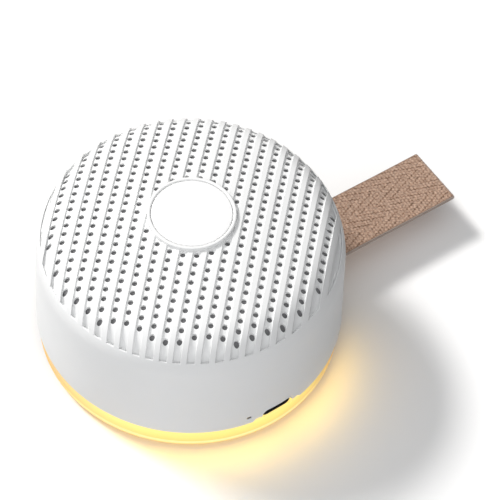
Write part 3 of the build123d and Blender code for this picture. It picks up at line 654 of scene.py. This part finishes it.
# The light that it throws comes mostly from its upper half and from the front.
lamp_rise = spread(glow_tree, glow_height, 4.6 * mm, 6.8 * mm, 1.0, 10.0, eased=True)
lamp_front = leaning(glow_tree, glow_place, (0.35 / reach, -0.94 / reach, 0))
lamp_share = spread(glow_tree, lamp_front, 0.05, 0.8, 0.03, 1.0, eased=True)
lamp_colour = glow_tree.nodes.new("ShaderNodeMix")
lamp_colour.data_type = "RGBA"
lamp_colour.inputs[6].default_value = (1.0, 0.52, 0.0, 1)
lamp_colour.inputs[7].default_value = (1.0, 0.62, 0.06, 1)
glow_tree.links.new(spread(glow_tree, glow_height, 3.2 * mm, 5.5 * mm), lamp_colour.inputs["Factor"])
lamp_light = glow_tree.nodes.new("ShaderNodeEmission")
glow_tree.links.new(lamp_colour.outputs[2], lamp_light.inputs["Color"])
glow_tree.links.new(reckon(glow_tree, "MULTIPLY", lamp_rise, lamp_share), lamp_light.inputs["Strength"])
glow_rays = glow_tree.nodes.new("ShaderNodeLightPath").outputs
glow_seen = either(glow_tree, glow_rays["Is Diffuse Ray"], frosted.outputs[0], lamp_light.outputs[0])
glow_tree.links.new(glow_seen, glow_tree.nodes["Material Output"].inputs["Surface"])
coat(ring, glow)
settle(ring, "casing", "diffuser", "light_ring")


# ---- Hang loop ---------------------------------------------------------------------------------------
# One length of brown herringbone webbing, folded back on itself and held inside the wall by a steel pin. It
# is woven in four lengthwise bands whose twill ribs lean to alternate sides.
loop_reach = 84.2
loop_root = 38.6
loop_half = strap_width / 2
webbing = 0.7
layer_middle = 0.42
band_width = strap_width / 4
rib_lean = math.radians(20)
rib_pitch = 0.95
pick_pitch = 1.05
relief = 0.14
selvedge_width = 0.6
fold_wear = 1.3
sag_start = 44.0
sag_run = 40.0


def weave_height(across, along):
    """Height of the weave, from 0 in the gaps between yarns to 1 on their crests."""
    band = min(int((across + loop_half) / band_width), 3)
    within = across + loop_half - band * band_width
    folded = band_width - within if band % 2 else within
    wander = noise.noise((along * 0.35, across * 0.35, 3.0))
    rib = (along * math.sin(rib_lean) + folded * math.cos(rib_lean)) / rib_pitch + band * 0.5 + 0.16 * wander
    pick = (along * math.cos(rib_lean) - folded * math.sin(rib_lean)) / pick_pitch + math.floor(rib) * 0.37
    pick += 0.35 * noise.noise((along * 0.8, across * 0.8, 9.0))
    crest = abs(math.sin(math.pi * rib)) ** 0.7
    gap = (0.5 - 0.5 * math.cos(2 * math.pi * pick)) ** 2
    deep = 1.0 if math.floor(rib + 0.5) % 2 else 0.45
    deep *= 0.85 + 0.9 * noise.noise((math.floor(rib + 0.5) * 1.7, along * 0.9, band * 5.0))
    uneven = 0.45 * noise.noise((along * 2.4, across * 2.4, 0.0))
    return 1 - deep * (1 - crest) * (0.25 + 1.1 * gap) - 0.22 * gap * crest - abs(uneven)


run = loop_reach - layer_middle - webbing / 2 - loop_root
bend = math.pi * layer_middle
loop_length = 2 * run + bend
along_steps = 380
across_steps = 88
bpy.ops.mesh.primitive_grid_add(x_subdivisions=along_steps, y_subdivisions=across_steps, size=1)
strap = bpy.context.object
strap.name = "webbing_loop"
weave = strap.data.attributes.new("weave", "FLOAT", "POINT")
edge = strap.data.attributes.new("selvedge", "FLOAT", "POINT")
turn = math.radians(strap_azimuth)
for vertex in strap.data.vertices:
    along = (vertex.co.x + 0.5) * loop_length
    across = vertex.co.y * strap_width
    high = max(0, min(1, weave_height(across, along)))
    across += strap_offset
    selvedge = max(0, (abs(across - strap_offset) - (loop_half - selvedge_width)) / selvedge_width)
    high = high * (1 - selvedge ** 2)
    fold = max(0, 1 - abs(along - run - bend / 2) / fold_wear)
    weave.data[vertex.index].value = high
    edge.data[vertex.index].value = max(selvedge, fold)
    lift = relief * (high - 1)
    if along < run:
        reach, out = loop_root + along, 0
    elif along < run + bend:
        reach, out = loop_root + run, (along - run) / layer_middle
    else:
        reach, out = loop_root + 2 * run + bend - along, math.pi
    radius = layer_middle + webbing / 2 + lift
    reach += radius * math.sin(out)
    height = strap_height - radius * math.cos(out)
    sag = max(0, reach - sag_start) / sag_run
    height -= 0.35 * sag ** 2 + 0.12 * math.sin(reach * 0.19 + 1.0) * sag
    vertex.co = (
        (reach * math.cos(turn) - across * math.sin(turn)) * mm,
        (reach * math.sin(turn) + across * math.cos(turn)) * mm,
        height * mm)
pick_only(strap)
bpy.ops.object.mode_set(mode="EDIT")
bpy.ops.mesh.select_all(action="SELECT")
bpy.ops.mesh.normals_make_consistent(inside=False)
bpy.ops.object.mode_set(mode="OBJECT")
thick = strap.modifiers.new("thick", "SOLIDIFY")
thick.thickness = (webbing - relief) * mm
thick.offset = -1
bpy.ops.object.modifier_apply(modifier="thick")
smooth(strap, 60)

cloth = bpy.data.materials.new("herringbone_webbing")
cloth.use_nodes = True
cloth_nodes = cloth.node_tree.nodes
cloth_links = cloth.node_tree.links
yarn = cloth_nodes["Principled BSDF"]
yarn.inputs["Roughness"].default_value = 0.88
yarn.inputs["Specular IOR Level"].default_value = 0.2
yarn.inputs["Sheen Weight"].default_value = 0.25
yarn.inputs["Sheen Roughness"].default_value = 0.5
# Brown yarn, near black in the gaps and pale on the crests: painted shade and painted highlight of the weave.
yarn_height = cloth_nodes.new("ShaderNodeAttribute")
yarn_height.attribute_name = "weave"
yarn_and_painted_light_ramp = cloth_nodes.new("ShaderNodeValToRGB")
yarn_and_painted_light_ramp.color_ramp.elements[0].color = (0.045, 0.016, 0.006, 1)
yarn_and_painted_light_ramp.color_ramp.elements[0].position = 0.05
yarn_and_painted_light_ramp.color_ramp.elements[1].color = (0.47, 0.33, 0.25, 1)
yarn_and_painted_light_ramp.color_ramp.elements[1].position = 0.95
yarn_and_painted_light_ramp.color_ramp.elements.new(0.55).color = (0.27, 0.16, 0.105, 1)
cloth_links.new(yarn_height.outputs["Fac"], yarn_and_painted_light_ramp.inputs["Fac"])
fibre_place = cloth_nodes.new("ShaderNodeTexCoord")
fibre = cloth_nodes.new("ShaderNodeTexNoise")
fibre.inputs["Scale"].default_value = 1500
fibre.inputs["Detail"].default_value = 3
cloth_links.new(fibre_place.outputs["Object"], fibre.inputs["Vector"])
fibre_mix = cloth_nodes.new("ShaderNodeMix")
fibre_mix.data_type = "RGBA"
fibre_mix.blend_type = "OVERLAY"
fibre_mix.inputs["Factor"].default_value = 0.85
cloth_links.new(yarn_and_painted_light_ramp.outputs["Color"], fibre_mix.inputs[6])
cloth_links.new(fibre.outputs["Fac"], fibre_mix.inputs[7])
# Paler at both edges and round the fold: partly a paler border, partly painted light on the shaded sides.
cut_edge = cloth_nodes.new("ShaderNodeAttribute")
cut_edge.attribute_name = "selvedge"
paler_edges_and_painted_side_light = cloth_nodes.new("ShaderNodeMix")
paler_edges_and_painted_side_light.data_type = "RGBA"
paler_edges_and_painted_side_light.inputs[7].default_value = (0.44, 0.36, 0.31, 1)
paler_edges_and_painted_side_light_share = cloth_nodes.new("ShaderNodeMath")
paler_edges_and_painted_side_light_share.operation = "POWER"
paler_edges_and_painted_side_light_share.inputs[1].default_value = 3
cloth_links.new(cut_edge.outputs["Fac"], paler_edges_and_painted_side_light_share.inputs[0])
cloth_links.new(paler_edges_and_painted_side_light_share.outputs[0], paler_edges_and_painted_side_light.inputs["Factor"])
cloth_links.new(fibre_mix.outputs[2], paler_edges_and_painted_side_light.inputs[6])
cloth_links.new(paler_edges_and_painted_side_light.outputs[2], yarn.inputs["Base Color"])
fibre_bump = cloth_nodes.new("ShaderNodeBump")
fibre_bump.inputs["Strength"].default_value = 0.35
fibre_bump.inputs["Distance"].default_value = 0.00005
cloth_links.new(fibre.outputs["Fac"], fibre_bump.inputs["Height"])
cloth_links.new(fibre_bump.outputs["Normal"], yarn.inputs["Normal"])
coat(strap, cloth)
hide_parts("strap_loop", "strap_tail")
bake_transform(strap)


# ---- Base plate --------------------------------------------------------------------------------------
# A warm white moulded plate closes the body from below. The controls sit in a round recessed panel; inside,
# an upstand carries the lamp strip, and bosses take the case screws and the board.
base_face = 1.6
base_back = 3.4
upstand_top = 7.6
panel_face = 2.8
panel_back = 4.6
board_low = 9.0
foot_circle = 33.4
foot_radius = 3.4
foot_top = 2.4
boss_foot = 2.9
boss_top = 6.0
standoff_circle = 29.5
standoff_foot = 3.8
button_circle = 17.2
button_radius = 4.8
switch_row = 13.4
pocket_floor = 3.7
light_row = 21.1


def peg(radius, low, high, x=0.0, y=0.0, sides=48):
    """An upright round bar."""
    bpy.ops.mesh.primitive_cylinder_add(vertices=sides, radius=radius * mm, depth=(high - low) * mm,
                                        location=(x * mm, y * mm, (low + high) / 2 * mm))
    return bpy.context.object


def on_circle(radius, azimuth):
    """The place at an azimuth on a circle about the body's axis."""
    turn = math.radians(azimuth)
    return radius * math.cos(turn), radius * math.sin(turn)


def long_pocket(length, width, low, high, y, draft=0.0):
    """An upright bar with round ends; draft widens its lower end."""
    bpy.ops.mesh.primitive_circle_add(vertices=48, radius=width / 2 * mm, fill_type="NGON")
    bar = bpy.context.object
    for vertex in bar.data.vertices:
        vertex.co.x += math.copysign((length - width) / 2 * mm, vertex.co.x)
    bpy.ops.object.mode_set(mode="EDIT")
    bpy.ops.mesh.select_all(action="SELECT")
    bpy.ops.mesh.extrude_region_move(TRANSFORM_OT_translate={"value": (0, 0, (low - high) * mm)})
    bpy.ops.transform.resize(value=(1 + 2 * draft / length, 1 + 2 * draft / width, 1))
    bpy.ops.mesh.select_all(action="SELECT")
    bpy.ops.mesh.normals_make_consistent(inside=False)
    bpy.ops.object.mode_set(mode="OBJECT")
    bar.location = (0, y * mm, high * mm)
    bpy.ops.object.transform_apply(location=True, rotation=True, scale=True)
    return bar


base = spin_outline("base_moulding", [
    (0, panel_face), (28.75, panel_face), *arc((28.75, panel_face - 0.5), 0.5, 90, 0),
    *arc((29.75, base_face + 0.5), 0.5, 180, 270), (34, base_face),
    *arc((38.5, base_face + 0.7), 0.7, -90, 0), (39.2, base_back), (37.6, base_back),
    (37.6, upstand_top), (36.8, upstand_top), (36.8, base_back), (31.0, base_back),
    (31.0, panel_back), (0, panel_back), (0, panel_face)], steps=192)
foot_places = [on_circle(foot_circle, azimuth) for azimuth in (90, 210, 330)]
standoffs = [on_circle(standoff_circle, azimuth) for azimuth in (30, 150, 270)]
carve(base, "UNION", *[peg(3.45, boss_foot, boss_top, *place) for place in foot_places],
      *[peg(2.5, standoff_foot, board_low, *place) for place in standoffs])
buttons = {
    "power": (6.0, (0.0, 0.0)),
    "volume_up": (button_radius, (button_circle, 0.0)),
    "timer": (button_radius, on_circle(button_circle, -45)),
    "sound": (button_radius, on_circle(button_circle, -90)),
    "light": (button_radius, on_circle(button_circle, -135)),
    "volume_down": (button_radius, (-button_circle, 0.0)),
}
light_places = [(place * 5.27, light_row) for place in (-1.5, -0.5, 0.5, 1.5)]
carve(base, "DIFFERENCE",
      *[peg(foot_radius + 0.1, 0, foot_top, *place) for place in foot_places],
      *[peg(2.6, 2, 4.0, *place) for place in foot_places],
      *[peg(1.4, 2, 12, *place) for place in foot_places],
      *[peg(1.0, 5.4, 10, *place) for place in standoffs],
      *[peg(radius + 0.25, 0, 6, *place, sides=64) for radius, place in buttons.values()],
      long_pocket(23.3, 7.5, 2.5, pocket_floor, switch_row, draft=0.25),
      long_pocket(7.5, 4.8, 1, 6, switch_row),
      *[peg(0.65, 0, 6, *place, sides=24) for place in light_places])
smooth(base)
base_plastic = moulded("base_moulding", (0.87, 0.85, 0.815), 0.5)
coat(base, base_plastic)
settle(base, "casing", "base_plastic", "base_plate")


# ---- Feet --------------------------------------------------------------------------------------------
# Three round pads of pale rubber with soft edges, glued into their pockets over the case screws. The machine
# stands on them, clear of the table.
foot_rubber = moulded("foot_rubber", (0.83, 0.81, 0.775), 0.75, mottle=0.03, grain_size=1800.0, grain=0.5)
for side, place in zip(("back", "left", "right"), foot_places):
    foot = spin_outline(side + "_pad", [
        (0, 0), (foot_radius - 0.7, 0), *arc((foot_radius - 0.7, 0.7), 0.7, -90, 0), (foot_radius, foot_top),
        (0, foot_top), (0, 0)], steps=48)
    foot.location = (place[0] * mm, place[1] * mm, 0)
    smooth(foot)
    coat(foot, foot_rubber)
    settle(foot, "casing", "foot_rubber", side + "_foot")


# ---- Push buttons ------------------------------------------------------------------------------------
# Six white caps with rounded edges stand a little proud of the panel. A flange behind it keeps each one in,
# and a stem reaches its switch. Their marks are printed in grey ink, a hair above the plastic.
button_face = 2.5
flange_low = panel_back + 0.1
flange_high = 5.5
stem_top = 7.2
ink_height = 0.06


def flat_shape(points):
    """A flat mark with the given corners, read from above."""
    bpy.ops.mesh.primitive_circle_add(vertices=len(points), radius=mm, fill_type="NGON")
    shape = bpy.context.object
    for vertex, (x, y) in zip(shape.data.vertices, points):
        vertex.co = (x * mm, y * mm, 0)
    return shape


def flat_arc(radius, width, start, end, centre=(0.0, 0.0), steps=24):
    """A flat curved line of the given width, from one angle to another."""
    bpy.ops.mesh.primitive_grid_add(x_subdivisions=steps, y_subdivisions=1, size=1)
    line = bpy.context.object
    for vertex in line.data.vertices:
        turn = math.radians(start + (end - start) * (vertex.co.x + 0.5))
        reach = radius - vertex.co.y * width
        vertex.co = ((centre[0] + reach * math.cos(turn)) * mm, (centre[1] + reach * math.sin(turn)) * mm, 0)
    return line


def flat_line(start, end, width):
    """A flat straight line of the given width."""
    way = math.atan2(end[1] - start[1], end[0] - start[0])
    side = (-math.sin(way) * width / 2, math.cos(way) * width / 2)
    return flat_shape([
        (start[0] - side[0], start[1] - side[1]), (end[0] - side[0], end[1] - side[1]),
        (end[0] + side[0], end[1] + side[1]), (start[0] + side[0], start[1] + side[1])])


def flat_text(words, size):
    """Flat lettering, centred."""
    bpy.ops.object.text_add()
    text = bpy.context.object
    text.data.body = words
    text.data.size = size * mm
    text.data.align_x = "CENTER"
    text.data.align_y = "CENTER"
    text.data.resolution_u = 4
    bpy.ops.object.convert(target="MESH")
    return bpy.context.object


def printed(name, shapes, x, y, face, ink, body, slot, *nodes, size=1.0):
    """Turns a flat mark over to be read from below and sets it into a face, a hair proud of it."""
    mark = join_all(shapes)
    mark.name = name
    pick_only(mark)
    bpy.ops.object.mode_set(mode="EDIT")
    bpy.ops.mesh.select_all(action="SELECT")
    bpy.ops.mesh.remove_doubles(threshold=0.001 * mm)
    bpy.ops.transform.resize(value=(size, size, 1), center_override=(0, 0, 0))
    bpy.ops.mesh.extrude_region_move(TRANSFORM_OT_translate={"value": (0, 0, ink_height * mm)})
    bpy.ops.mesh.select_all(action="SELECT")
    bpy.ops.mesh.normals_make_consistent(inside=False)
    bpy.ops.object.mode_set(mode="OBJECT")
    mark.rotation_euler = (math.pi, 0, 0)
    mark.location = (x * mm, y * mm, (face + ink_height / 2) * mm)
    coat(mark, ink)
    settle(mark, body, slot, *nodes)


def speaker_mark(*waves):
    """The loudspeaker sign with its sound waves."""
    horn = flat_shape([(-2.1, -0.6), (-1.2, -0.6), (-0.1, -1.5), (-0.1, 1.5), (-1.2, 0.6), (-2.1, 0.6)])
    return [horn] + [flat_arc(radius, 0.32, -48, 48, steps=12) for radius in waves]


marks = {
    "power": lambda: [flat_arc(1.9, 0.45, 122, 418), flat_line((0, 0.3), (0, 2.5), 0.45)],
    "volume_up": lambda: speaker_mark(0.95, 1.75),
    "timer": lambda: [flat_arc(2.0, 0.36, 0, 360, steps=40), flat_line((0, -0.15), (0, 1.3), 0.34),
                      flat_line((0.17, 0), (1.0, 0), 0.34)],
    "sound": lambda: [flat_arc(0.5, 0.42, 0, 360, centre=(-0.75, -1.45)),
                      flat_line((-0.2, -1.4), (-0.2, 2.1), 0.34),
                      flat_shape([(-0.03, 2.1), (-0.03, 1.35), (1.05, 0.55), (1.25, 0.75), (1.2, 1.15)])],
    "light": lambda: [flat_arc(0.95, 0.32, 0, 360)] + [
        flat_line(on_circle(1.5, azimuth), on_circle(2.3, azimuth), 0.32) for azimuth in range(0, 360, 45)],
    "volume_down": lambda: speaker_mark(0.95),
}
key_plastic = moulded("key_moulding", (0.9, 0.885, 0.865), 0.42, mottle=0.01, grain=0.15)
grey_ink = moulded("grey_ink", (0.14, 0.135, 0.13), 0.6, mottle=0.05)
for name, (radius, place) in buttons.items():
    cap = spin_outline(name + "_cap", [
        (0, button_face), (radius - 0.45, button_face),
        *arc((radius - 0.45, button_face + 0.45), 0.45, -90, 0), (radius, flange_low),
        (radius + 1.0, flange_low), (radius + 1.0, flange_high), (1.6, flange_high),
        (1.6, stem_top), (0, stem_top), (0, button_face)], steps=64)
    cap.location = (place[0] * mm, place[1] * mm, 0)
    smooth(cap)
    coat(cap, key_plastic)
    settle(cap, name + "_button_cap", "key_plastic", name + "_button")
    printed(name + "_mark", marks[name](), *place, button_face, grey_ink, name + "_button_cap", "key_plastic",
            name + "_button", size=1.25)


# ---- Slide switch ------------------------------------------------------------------------------------
# A round white thumb knob stands in a long pocket. It is part of a dark plate that slides behind the panel
# and takes the switch's lever with it. The panel is marked on each side, and the lights have their minutes.
knob_place = (-1.35, switch_row)
knob_radius = 2.3
knob_top = 4.75
knob = spin_outline("thumb_knob", [
    (0, button_face), (knob_radius - 0.55, button_face),
    *arc((knob_radius - 0.55, button_face + 0.55), 0.55, -90, 0), (knob_radius, knob_top), (0, knob_top),
    (0, button_face)], steps=48)
knob.location = (knob_place[0] * mm, knob_place[1] * mm, 0)
smooth(knob)
coat(knob, key_plastic)
settle(knob, "slide_knob", "key_plastic", "switch_knob")
slide_parts = []
plate_size = (11.0, 6.0, flange_low, flange_high)
fork_size = (2.0, 2.0, flange_high - 0.1, stem_top)
for length, width, low, high in (plate_size, fork_size):
    middle = (knob_place[0] * mm, knob_place[1] * mm, (low + high) / 2 * mm)
    bpy.ops.mesh.primitive_cube_add(size=mm, location=middle)
    block = bpy.context.object
    block.scale = (length, width, high - low)
    bpy.ops.object.transform_apply(location=True, rotation=True, scale=True)
    slide_parts.append(block)
slide_plate, lever_fork = slide_parts
carve(slide_plate, "UNION", lever_fork)
slide_plate.name = "slide_plate"
soft_edge = slide_plate.modifiers.new("soft_edge", "BEVEL")
soft_edge.width = 0.15 * mm
soft_edge.segments = 2
pick_only(slide_plate)
bpy.ops.object.modifier_apply(modifier="soft_edge")
smooth(slide_plate)
dark_plastic = moulded("dark_moulding", (0.1, 0.1, 0.1), 0.55, mottle=0.05)
coat(slide_plate, dark_plastic)
settle(slide_plate, "slide_knob", "black_plastic", "switch_knob")

pale_ink = moulded("pale_ink", (0.5, 0.485, 0.46), 0.6, mottle=0.05)
for name, word, x in (("off_mark", "OFF", -6.6), ("on_mark", "ON", 6.6)):
    printed(name, [flat_text(word, 2.2)], x, switch_row, pocket_floor, pale_ink, "casing", "base_plastic",
            "base_plate")
for minutes, place in zip(("30", "60", "90", "120"), light_places):
    printed("minutes_" + minutes, [flat_text(minutes, 3.0)], place[0], place[1] + 3.4, panel_face, pale_ink,
            "casing", "base_plastic", "base_plate")


# ---- Finishes of the solids that stay ----------------------------------------------------------------
# The solids whose plain shape is right: the socket, the clear lights and all that the body hides. Each gets
# the finish of what it is made of, except that the clear lights and the socket's steel are dark with painted
# shade for the dark inside them. The bare steels are the only metals among them.
solid_finishes = {
    # Opaque dark grey: painted shade of the dark inside seen through the clear lights.
    "lens_plastic": ((0.07, 0.07, 0.072), 0.25, 0.02),
    "black_plastic": ((0.012, 0.012, 0.012), 0.55, 0.1),
    "circuit_board": ((0.02, 0.16, 0.07), 0.4, 0.15),
    "chip_epoxy": ((0.02, 0.02, 0.021), 0.5, 0.1),
    "led_lens": ((0.85, 0.78, 0.5), 0.3, 0.02),
    "strip_film": ((0.8, 0.72, 0.5), 0.5, 0.05),
    "battery_foil": ((0.45, 0.46, 0.47), 0.35, 0.1),
    "foam": ((0.05, 0.05, 0.05), 0.95, 0.3),
    "lead_red": ((0.5, 0.03, 0.02), 0.45, 0.05),
    "magnet_ferrite": ((0.03, 0.03, 0.033), 0.7, 0.2),
    "cone_paper": ((0.05, 0.05, 0.05), 0.9, 0.3),
    "roll_rubber": ((0.02, 0.02, 0.02), 0.6, 0.1),
    "coil_former": ((0.35, 0.2, 0.08), 0.5, 0.1),
    # Near black and not metal: painted shade of the socket's dark inside, not the steel's own colour.
    "usb_steel": ((0.006, 0.006, 0.007), 0.5, 0.05),
    "speaker_steel": ((0.35, 0.35, 0.36), 0.45, 0.08),
    "zinc_steel": ((0.55, 0.56, 0.58), 0.35, 0.08),
    "screw_steel": ((0.5, 0.5, 0.51), 0.3, 0.08),
}
bare_steels = ("speaker_steel", "zinc_steel", "screw_steel")
solid_paints = {}
for slot_name, (colour, rough, mottle) in solid_finishes.items():
    solid_paints[slot_name] = moulded(slot_name + "_finish", colour, rough, mottle=mottle)
for slot_name in bare_steels:
    solid_paints[slot_name].node_tree.nodes["Principled BSDF"].inputs["Metallic"].default_value = 1
for row in frame["record"]["subparts"]:
    if row["material_slot"] in solid_paints:
        coat(frame["nodes"][row["node"]], solid_paints[row["material_slot"]])
